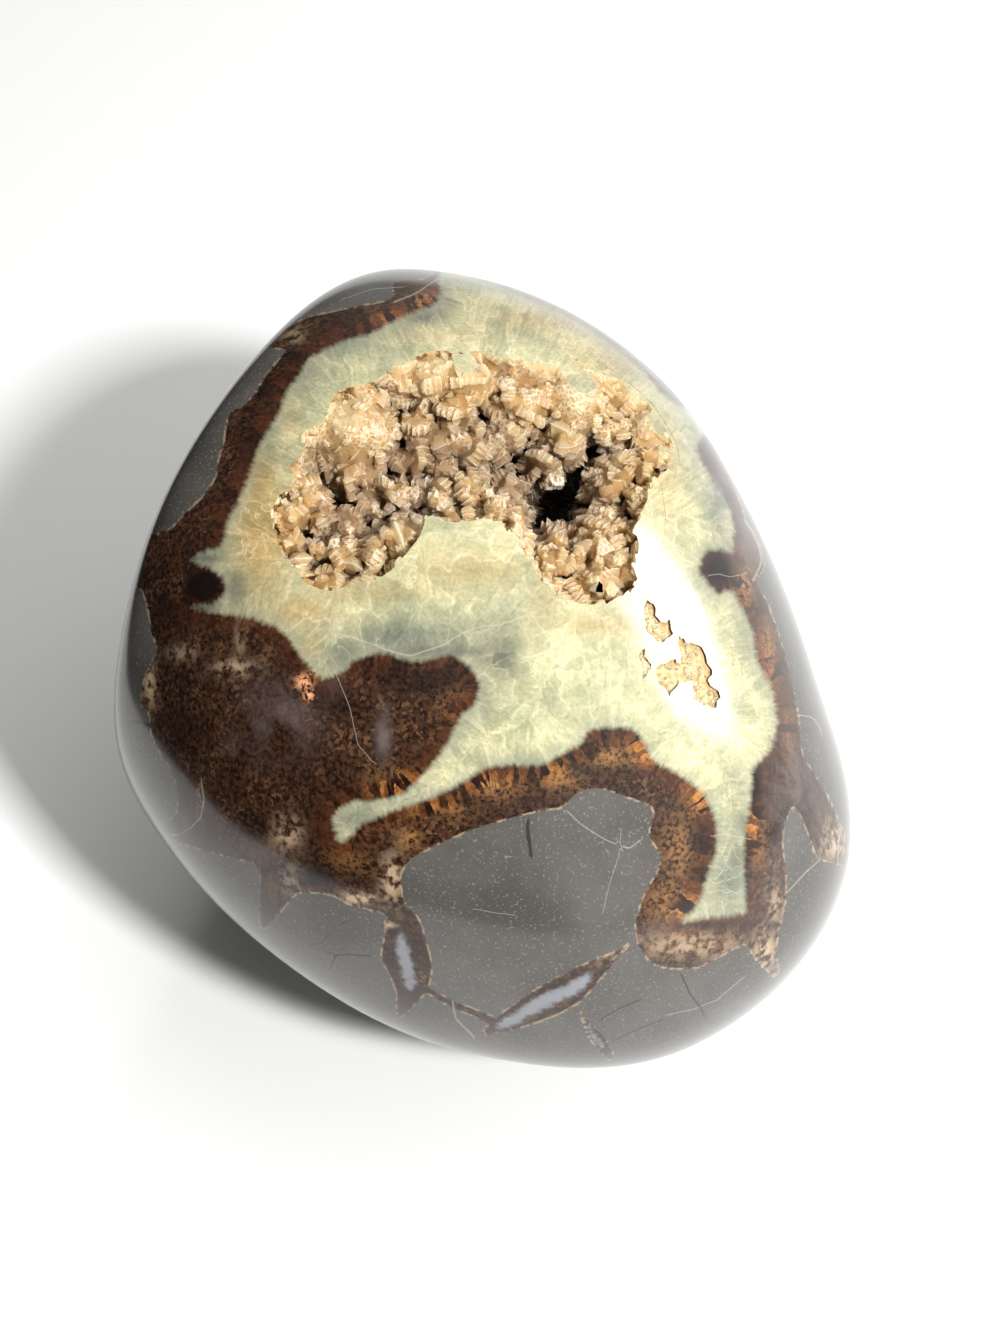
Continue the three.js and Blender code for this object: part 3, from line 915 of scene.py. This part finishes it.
# The broken walls of the pits and under the crust are sugary and rough.
cut_wall = stored("cut_wall")
sugar = grain_of(place, 1500.0, 3.0)
wall = blend(ramp(sugar, 0.35, 0.65), (0.34, 0.21, 0.075, 1), (0.46, 0.34, 0.18, 1))
colour = blend(cut_wall, colour, wall)
roughness = add_node("ShaderNodeMapRange", {"Value": in_calcite, "To Min": 0.15,
    "To Max": 0.16}).outputs[0]
roughness = maths("MAXIMUM", roughness, times(cut_wall, 0.55))
relief = plus(times(times(calcite.outputs["Height"], in_calcite), 0.6),
    plus(times(pale_line, -0.8), times(times(sugar, cut_wall), 9.0)))
bump = add_node("ShaderNodeBump", {"Height": relief, "Strength": 0.35,
    "Distance": 0.00006}).outputs[0]
shader = add_node("ShaderNodeBsdfPrincipled", {"Base Color": colour, "Roughness": roughness,
    "IOR": 1.55, "Normal": bump})
tree.links.new(shader.outputs[0], output.inputs["Surface"])
stone_mesh.materials.clear()
stone_mesh.materials.append(stone_finish)
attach(stone, "root")
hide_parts("nodule")

# The crystal crust. Calcite crystals that lined the crack's open middle: lumps of blades and
# dog-teeth that stand side by side, with sugary small ones between. They are one growth,
# which backs on the nodule's pockets, and was ground off level with the polish.
DRUSE_RIM = [(310, 399), (345, 387), (373, 383), (388, 367), (411, 357), (440, 352), (474, 349),
    (500, 338), (540, 334), (568, 336), (589, 351), (623, 371), (650, 390), (674, 414), (668, 427),
    (675, 450), (668, 468), (652, 487), (640, 514), (634, 531), (638, 548), (632, 567), (644, 590),
    (655, 612), (638, 617), (623, 613), (594, 608), (566, 607), (548, 592), (534, 572), (522, 550),
    (508, 530), (497, 533), (474, 538), (451, 541), (434, 545), (422, 566), (400, 576), (376, 583),
    (336, 587), (307, 599), (299, 567), (282, 574), (273, 531), (267, 514), (276, 499), (291, 485),
    (290, 465), (303, 439), (308, 416)]
RIM_LEVELS = [(-4, -3), (0, 0), (4, 2), (10, 5), (45, 9)]
RIM_TEETH = 3.5
CRUST_OVERLAP = 0.35
CRUST_SHELL = 0.8
UNDER_POLISH = 0.04
GROUND_LEVEL = 0.02
LOWERED_GRID = 64
FLAT_ENOUGH = 0.03
LUMP_SPREAD = 1.2
LUMPS = [(352, 436, 34, 1.6), (322, 425, 18, 1.2), (291, 515, 15, 1.6), (305, 500, 14, 3.0),
    (286, 545, 9, 1.5), (398, 374, 19, 1.6), (432, 381, 21, 1.6), (464, 380, 20, 1.4),
    (455, 408, 15, 4.0), (416, 425, 12, 6.0), (440, 440, 12, 7.5), (384, 428, 12, 8.0),
    (470, 452, 20, 9.0), (446, 474, 16, 10.5), (396, 497, 13, 6.0), (352, 476, 16, 6.5),
    (470, 492, 17, 4.5), (436, 502, 15, 6.5), (497, 511, 11, 2.6), (515, 521, 9, 2.4),
    (403, 541, 20, 1.6), (342, 556, 11, 3.2), (376, 555, 12, 3.2), (322, 554, 10, 4.0),
    (350, 530, 12, 7.5), (453, 528, 10, 2.5), (470, 527, 10, 2.5), (487, 528, 9, 2.5),
    (325, 587, 16, 1.0), (296, 584, 9, 1.2), (519, 410, 22, 4.5), (571, 405, 28, 2.6),
    (530, 366, 32, 0.9), (592, 372, 25, 1.1), (562, 440, 16, 6.5), (500, 440, 13, 9.0),
    (623, 401, 18, 3.5), (650, 432, 17, 1.6), (657, 458, 13, 1.6), (642, 472, 11, 5.0),
    (541, 463, 14, 9.0), (508, 492, 14, 12.0), (611, 492, 21, 7.5), (636, 500, 11, 4.0),
    (600, 545, 26, 4.5), (556, 545, 12, 5.0), (546, 565, 17, 1.6), (594, 588, 26, 0.6),
    (632, 577, 17, 1.0), (577, 560, 12, 4.0), (612, 562, 18, 2.5), (546, 583, 11, 0.8),
    (560, 375, 18, 1.6), (622, 378, 10, 1.8), (362, 398, 14, 2.0), (425, 560, 9, 1.6),
    (410, 460, 13, 8.0), (318, 523, 11, 6.0), (373, 508, 11, 7.5), (616, 436, 13, 7.0)]
LUMP_ROUGHNESS = 1.3
MOUND_PATCHES = [(345, 432, 36, 38), (292, 517, 20, 24), (530, 368, 34, 26), (592, 374, 30, 18),
    (571, 412, 22, 20), (611, 493, 20, 18)]

# Rows of blades: how far apart they start, the blades in a row, and each blade's width,
# thickness and height.
ROWS = {
    "blades": (2.45, (2, 6), (1.5, 3.1), (0.5, 1.15), (1.5, 3.0)),
    "mound plates": (1.6, (1, 4), (0.9, 2.0), (0.4, 0.9), (0.5, 1.0)),
    "small teeth": (1.5, (1, 3), (0.8, 1.8), (0.6, 1.2), (0.9, 1.8)),
}
ROW_ROOT = 1.0
BETWEEN_ROWS = 1.5
ROW_TRIES = 60000
VALLEY = (0.4, 0.8)
TIP_UNDER_POLISH = (0.03, 0.4)
LOWEST_ROW = 0.5
# Large single crystals: the pixel, width, thickness and height, and the turn across the view.
LARGE_CRYSTALS = [(403, 548, 7.0, 4.2, 3.4, 20), (594, 596, 8.5, 5.0, 5.0, 85),
    (561, 432, 3.4, 2.6, 3.0, 60), (318, 436, 3.6, 2.4, 2.2, 150), (549, 395, 3.6, 2.6, 2.4, 30),
    (300, 562, 3.6, 2.4, 3.0, 100), (353, 566, 3.4, 2.0, 2.8, 70), (462, 545, 3.4, 2.2, 2.6, 10),
    (634, 580, 3.6, 2.6, 2.8, 60), (421, 372, 3.0, 2.0, 2.2, 120), (372, 571, 2.8, 1.8, 2.6, 110),
    (618, 560, 4.0, 2.4, 3.0, 140)]
LARGE_SUNK = 2.0
PIT_CRYSTALS = 90
CLEAR_OF_OTHERS = 0.75


def lump_mesh(x, y, radius, depth):
    """A rough knob whose top is seen at a pixel, that far under the polish."""
    top = on_polish([(x, y)])[0]
    sight = (top - eye) / np.linalg.norm(top - eye)
    far = 0
    for middle, half in POCKETS.values():
        start = (top - np.array(middle)) / np.array(half, dtype=float)
        step = sight / np.array(half, dtype=float)
        a, b, c = step @ step, start @ step, start @ start - 1
        if b * b - a * c > 0:
            far = max(far, (-b + math.sqrt(b * b - a * c)) / a)
    radius = radius * LUMP_SPREAD * PIXEL
    long_half = max(radius, (far - depth) * 0.55)
    middle = top + sight * (depth + long_half)
    ball = bmesh.new()
    bmesh.ops.create_icosphere(ball, subdivisions=2, radius=1)
    turned = Vector(sight).to_track_quat("Z", "Y").to_matrix()
    for vert in ball.verts:
        out = np.array(turned @ Vector((vert.co.x * radius, vert.co.y * radius,
            vert.co.z * long_half)))
        point = middle + out
        rough = noise.noise_vector(Vector(point / 2.6)) * LUMP_ROUGHNESS
        vert.co = Vector(point + np.array(rough)) * MM
    mesh = bpy.data.meshes.new("lump")
    ball.to_mesh(mesh)
    ball.free()
    return mesh


def in_pockets(points, inset):
    """Whether points lie inside any pocket whose wall is drawn in."""
    inside = np.zeros(len(points), dtype=bool)
    for middle, half in POCKETS.values():
        share = (points - np.array(middle)) / (np.array(half) - inset)
        inside |= np.sum(share ** 2, axis=1) < 1
    return inside


names = list(POCKETS)
cavity = cut(pocket_mesh(names[0], CRUST_SHELL, 0.6, 2.5),
    [pocket_mesh(name, CRUST_SHELL, 0.6, 2.5) for name in names[1:]], "UNION")
mouth = jagged(np.array(DRUSE_RIM, dtype=float), 3, RIM_TEETH)
cavity = cut(cavity, [sunk_mesh(mouth, RIM_LEVELS)], "INTERSECT")
ground = cut(pocket_mesh(names[0], -CRUST_OVERLAP, 0.3, 3.0),
    [pocket_mesh(name, -CRUST_OVERLAP, 0.3, 3.0) for name in names[1:]], "UNION")
ground = cut(ground, [cavity], "DIFFERENCE")
ground = cut(ground, [lump_mesh(*lump) for lump in LUMPS], "UNION")
lowered = egg_mesh("lowered", LOWERED_GRID, UNDER_POLISH)


def scattered(mesh, tries, spacing):
    """Evenly spread places on the hollow's inner face, with the way that each faces."""
    mesh.calc_loop_triangles()
    count = len(mesh.loop_triangles)
    corners = np.empty(count * 3, dtype=np.int32)
    mesh.loop_triangles.foreach_get("vertices", corners)
    points = points_of(mesh)[corners.reshape(-1, 3)]
    cross = np.cross(points[:, 1] - points[:, 0], points[:, 2] - points[:, 0])
    area = np.linalg.norm(cross, axis=1)
    middle = points.mean(axis=1)
    wanted = (above_polish(middle) < -UNDER_POLISH * 2) & in_pockets(middle, 0.1)
    weight = np.where(wanted, area, 0)
    picked = chance.choice(count, tries, p=weight / weight.sum())
    share = chance.random((tries, 2))
    fold = share.sum(axis=1) > 1
    share[fold] = 1 - share[fold]
    spots = (points[picked, 0] + share[:, :1] * (points[picked, 1] - points[picked, 0])
        + share[:, 1:] * (points[picked, 2] - points[picked, 0]))
    ways = cross[picked] / area[picked, None]
    taken, kept = {}, []
    cells = np.floor(spots / spacing).astype(int)
    for k, (spot, cell) in enumerate(zip(spots, map(tuple, cells))):
        close = False
        for dx in (-1, 0, 1):
            for dy in (-1, 0, 1):
                for dz in (-1, 0, 1):
                    other = taken.get((cell[0] + dx, cell[1] + dy, cell[2] + dz))
                    if other is not None and np.sum((other - spot) ** 2) < spacing ** 2:
                        close = True
        if not close:
            taken[cell] = spot
            kept.append(k)
    return spots[kept], ways[kept]


def unit(vector):
    """A vector made one long."""
    return vector / np.linalg.norm(vector)


def row_of_blades(spot, along, across, widths, thick, heights, lean):
    """Blades that stand side by side as one closed solid: its points, faces and tip shares."""
    beside = np.cross(along, across)
    count = len(thick)
    edge = np.concatenate([[0], np.cumsum(thick)]) - thick.sum() / 2
    near = np.concatenate([widths[:1], widths[:-1] + widths[1:], widths[-1:]]) * 0.23
    low = np.concatenate([heights[:1] / 2, np.minimum(heights[:-1], heights[1:]),
        heights[-1:] / 2]) * chance.uniform(*VALLEY, count + 1)
    local, tips = [], []
    for s, w, h in zip(edge, near, low):
        local += [(s, -0.8 * w, -ROW_ROOT), (s, 0.8 * w, -ROW_ROOT), (s, -w, h), (s, w, h)]
        tips += [0, 0, 0.2, 0.2]
    for k in range(count):
        s = edge[k] + thick[k] * np.clip(lean + chance.normal(0, 0.1), 0.1, 0.9)
        w = widths[k] / 2
        ridge = chance.uniform(0.02, 0.3, 2) * w
        shift = chance.uniform(-0.65, 0.65) * w
        left, right = chance.uniform(0.35, 0.9, 2) * heights[k]
        local += [(s, -w, left), (s, w, right), (s, shift - ridge[0], heights[k]),
            (s, shift + ridge[1], heights[k] * chance.uniform(0.9, 1))]
        tips += [1, 1, 1, 1]
    faces = [(0, 1, 3, 2), (4 * count + 2, 4 * count + 3, 4 * count + 1, 4 * count)]
    for k in range(count):
        a, b, t = 4 * k, 4 * k + 4, 4 * count + 4 + 4 * k
        faces += [(a + 2, a + 3, t + 3, t + 2), (a + 3, t + 1, t + 3), (a + 2, t + 2, t),
            (b + 3, b + 2, t + 2, t + 3), (b + 3, t + 3, t + 1), (b + 2, t, t + 2),
            (a + 3, b + 3, t + 1), (a + 1, b + 1, b + 3, a + 3), (b + 2, a + 2, t),
            (b, a, a + 2, b + 2), (a, b, b + 1, a + 1)]
    local = np.array(local)
    points = spot + local[:, :1] * across + local[:, 1:2] * beside + local[:, 2:] * along
    return points, faces, tips


def in_patches(pixels, patches):
    """Whether pixels lie in any of the patches."""
    inside = np.zeros(len(pixels), dtype=bool)
    for x, y, wide, high in patches:
        inside |= ((pixels[:, 0] - x) / wide) ** 2 + ((pixels[:, 1] - y) / high) ** 2 < 1
    return inside


crystals = []
lump_places = np.array([lump[:2] for lump in LUMPS], dtype=float)
lump_reach = np.array([lump[2] for lump in LUMPS], dtype=float)
lump_ways = chance.normal(0, 1, (len(LUMPS), 3))
for kind, (spacing, in_row, wide, thin, high) in ROWS.items():
    spots, ways = scattered(ground, int(ROW_TRIES / spacing), spacing)
    pixels = in_picture(spots)
    on_mound = in_patches(pixels, MOUND_PATCHES)
    if kind == "small teeth":
        taken = np.array([c[0].mean(axis=0) for c in crystals])
        wanted = np.array([np.min(np.sum((taken - s) ** 2, axis=1)) > BETWEEN_ROWS ** 2
            for s in spots])
    else:
        wanted = on_mound == (kind == "mound plates")
    for spot, way, pixel in zip(spots[wanted], ways[wanted], pixels[wanted]):
        nearest = np.argmin(np.linalg.norm(lump_places - pixel, axis=1) / lump_reach)
        loose = 0.18 if kind == "blades" else 0.5
        along = unit(way + 0.35 * unit(eye - spot) + chance.normal(0, loose * 0.7, 3))
        across = unit(np.cross(along, unit(lump_ways[nearest]) + chance.normal(0, loose, 3)))
        count = chance.integers(*in_row)
        size = chance.uniform(0.75, 1.2)
        height = chance.uniform(*high) * size
        room = -chance.uniform(*TIP_UNDER_POLISH) - above_polish(spot[None])[0]
        height = max(min(height, room), LOWEST_ROW)
        bow = 1 - 0.3 * np.linspace(-1, 1, count) ** 2
        crystals.append(row_of_blades(spot, along, across, chance.uniform(*wide) * size
            * chance.uniform(0.75, 1, count), chance.uniform(*thin, count),
            height * bow * chance.uniform(0.65, 1, count), chance.uniform(0.1, 0.9))
            + (chance.random(),))
for x, y, width, thickness, height, turn in LARGE_CRYSTALS:
    top = on_polish([(x, y)])[0]
    along = unit(unit(eye - top) + 0.3 * camera_up)
    spot = top - unit(eye - top) * (height + LARGE_SUNK) / (
        unit(eye - top) @ polish_normals(top[None])[0])
    turn = math.radians(turn)
    across = camera_right * math.cos(turn) + camera_up * math.sin(turn)
    across = unit(across - along * (across @ along))
    crystals.append(row_of_blades(spot, along, across, np.array([width]), np.array([thickness]),
        np.array([height]), 0.5) + (0.6,))
for outline, depth in SMALL_PITS.values():
    outline = np.array(outline, dtype=float)
    pixels = chance.uniform(outline.min(axis=0), outline.max(axis=0), (PIT_CRYSTALS, 2))
    pixels = pixels[inside_outline(pixels, outline)[0] > 1]
    for spot, normal in zip(on_polish(pixels), polish_normals(on_polish(pixels))):
        along = unit(normal + chance.normal(0, 0.5, 3))
        across = unit(np.cross(along, chance.normal(0, 1, 3)))
        size = chance.uniform(0.5, 1.1)
        crystals.append(row_of_blades(spot - normal * depth, along, across, np.array([size * 1.2]),
            np.array([size * 0.8]), np.array([size * depth * 0.9]), 0.5) + (chance.random(),))


def crystal_set(members):
    """One mesh of crystals that stand clear of each other, with their tips and hues."""
    points, faces, tips, hues = [], [], [], []
    for shape, sides, tip, hue in members:
        faces += [tuple(len(points) + n for n in side) for side in sides]
        tips += [tip[n] for side in sides for n in side]
        hues += [hue] * len(sides)
        points.extend(shape)
    mesh = new_mesh("crystals", points, faces)
    add_attribute(mesh, "tip", np.array(tips, dtype=float), "CORNER")
    add_attribute(mesh, "hue", np.array(hues), "FACE")
    return face_outwards(mesh)


middles = np.array([c[0].mean(axis=0) for c in crystals])
reaches = np.array([np.linalg.norm(c[0] - m, axis=1).max() for c, m in zip(crystals, middles)])
in_set = np.full(len(crystals), -1)
for k in range(len(crystals)):
    clear = (reaches[:k] + reaches[k]) * CLEAR_OF_OTHERS
    near = np.linalg.norm(middles[:k] - middles[k], axis=1) < clear
    in_set[k] = min(set(range(99)) - set(in_set[:k][near]))
sets = [crystal_set([crystals[k] for k in np.flatnonzero(in_set == n)])
    for n in range(in_set.max() + 1)]
add_attribute(ground, "tip", np.zeros(len(ground.loops)), "CORNER")
add_attribute(ground, "hue", np.full(len(ground.polygons), 0.5), "FACE")
crust_mesh = cut(ground, sets, "UNION")
crust_mesh = cut(crust_mesh, [lowered], "INTERSECT")
joined = bmesh.new()
joined.from_mesh(crust_mesh)
bmesh.ops.dissolve_limit(joined, angle_limit=FLAT_ENOUGH, verts=joined.verts, edges=joined.edges)
bmesh.ops.triangulate(joined, faces=joined.faces)
alike = {}
for flat_face in joined.faces:
    alike.setdefault(frozenset(flat_face.verts), []).append(flat_face)
bmesh.ops.delete(joined, context="FACES", geom=[one for same in alike.values() if len(same) > 1
    for one in same])
joined.to_mesh(crust_mesh)
joined.free()
crust = add_object("crystal_mass", crust_mesh)

crust_points = points_of(crust_mesh)
corner, face = corners_of(crust_mesh)
polished = np.full(len(crust_mesh.polygons), True)
polished[face[np.abs(above_polish(crust_points[corner]) + UNDER_POLISH) > GROUND_LEVEL]] = False
shade_polish(crust_mesh, polished)
chart = in_picture(crust_points)
reach, foot = inside_outline(chart, CALCITE_FILL)
mark_calcite(crust_mesh, chart, foot * PIXEL, reach * PIXEL)
add_attribute(crust_mesh, "polished", polished.astype(float), "FACE")
add_attribute(crust_mesh, "sunk", -above_polish(crust_points))

crystal_finish, tree, output = new_material("calcite crystals")
place = add_node("ShaderNodeTexCoord").outputs["Object"]
tip_share = stored("tip")
sunk = stored("sunk")
patch = grain_of(place, 140.0, 2.0)
facet_edge = add_node("ShaderNodeTexVoronoi", {"Vector": place, "Scale": 1250.0},
    feature="DISTANCE_TO_EDGE").outputs["Distance"]
body = blend(stored("hue"), (0.305, 0.222, 0.118, 1), (0.375, 0.292, 0.175, 1))
body = blend(ramp(patch, 0.35, 0.65), body, (0.35, 0.268, 0.158, 1))
# Painted shade: the crystals' roots, down in the recesses between them, are darker and more
# orange.
body = blend(ramp(tip_share, 0.8, 0.1), body, (0.30, 0.185, 0.075, 1))
# Painted light and shade by depth in the hollow: crystals near the mouth are painted lighter,
# those further down darker, and the deepest nearly black, as if shade fell there.
painted_light_near_mouth = times(ramp(sunk, 2.0, 0.3), 0.6)
body = blend(painted_light_near_mouth, body, (0.42, 0.337, 0.195, 1))
painted_shade_mid_depth = times(ramp(sunk, 3.0, 8.5), 0.75)
body = blend(painted_shade_mid_depth, body, (0.20, 0.13, 0.08, 1))
deep = times(ramp(sunk, 9.5, 20.0), 0.85)
body = blend(deep, body, (0.04, 0.021, 0.011, 1))
# Pale tips and thin white lines on the facets: partly the crystals' own frosty edges, partly
# painted highlight.
rim = maths("MAXIMUM", ramp(tip_share, 0.86, 0.97), times(ramp(facet_edge, 0.15, 0.05),
    ramp(patch, 0.48, 0.66)))
body = blend(times(rim, 0.45), body, (0.66, 0.60, 0.46, 1))
cut_calcite = polished_calcite()
bump = add_node("ShaderNodeBump", {"Height": facet_edge, "Strength": 0.6,
    "Distance": 0.0003}).outputs[0]
crystal = add_node("ShaderNodeBsdfPrincipled", {"Base Color": body, "Roughness": 0.3, "IOR": 1.55,
    "Normal": bump, "Subsurface Weight": 0.8, "Subsurface Radius": (1.0, 0.74, 0.48),
    "Subsurface Scale": 0.002})
crystal.subsurface_method = "BURLEY"
cut_face = add_node("ShaderNodeBsdfPrincipled", {"Base Color": cut_calcite.outputs["Colour"],
    "Roughness": 0.16, "IOR": 1.55})
surface = add_node("ShaderNodeMixShader", {0: stored("polished"), 1: crystal.outputs[0],
    2: cut_face.outputs[0]})
tree.links.new(surface.outputs[0], output.inputs["Surface"])
crust_mesh.materials.clear()
crust_mesh.materials.append(crystal_finish)
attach(crust, "root")
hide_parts("crystal_crust")
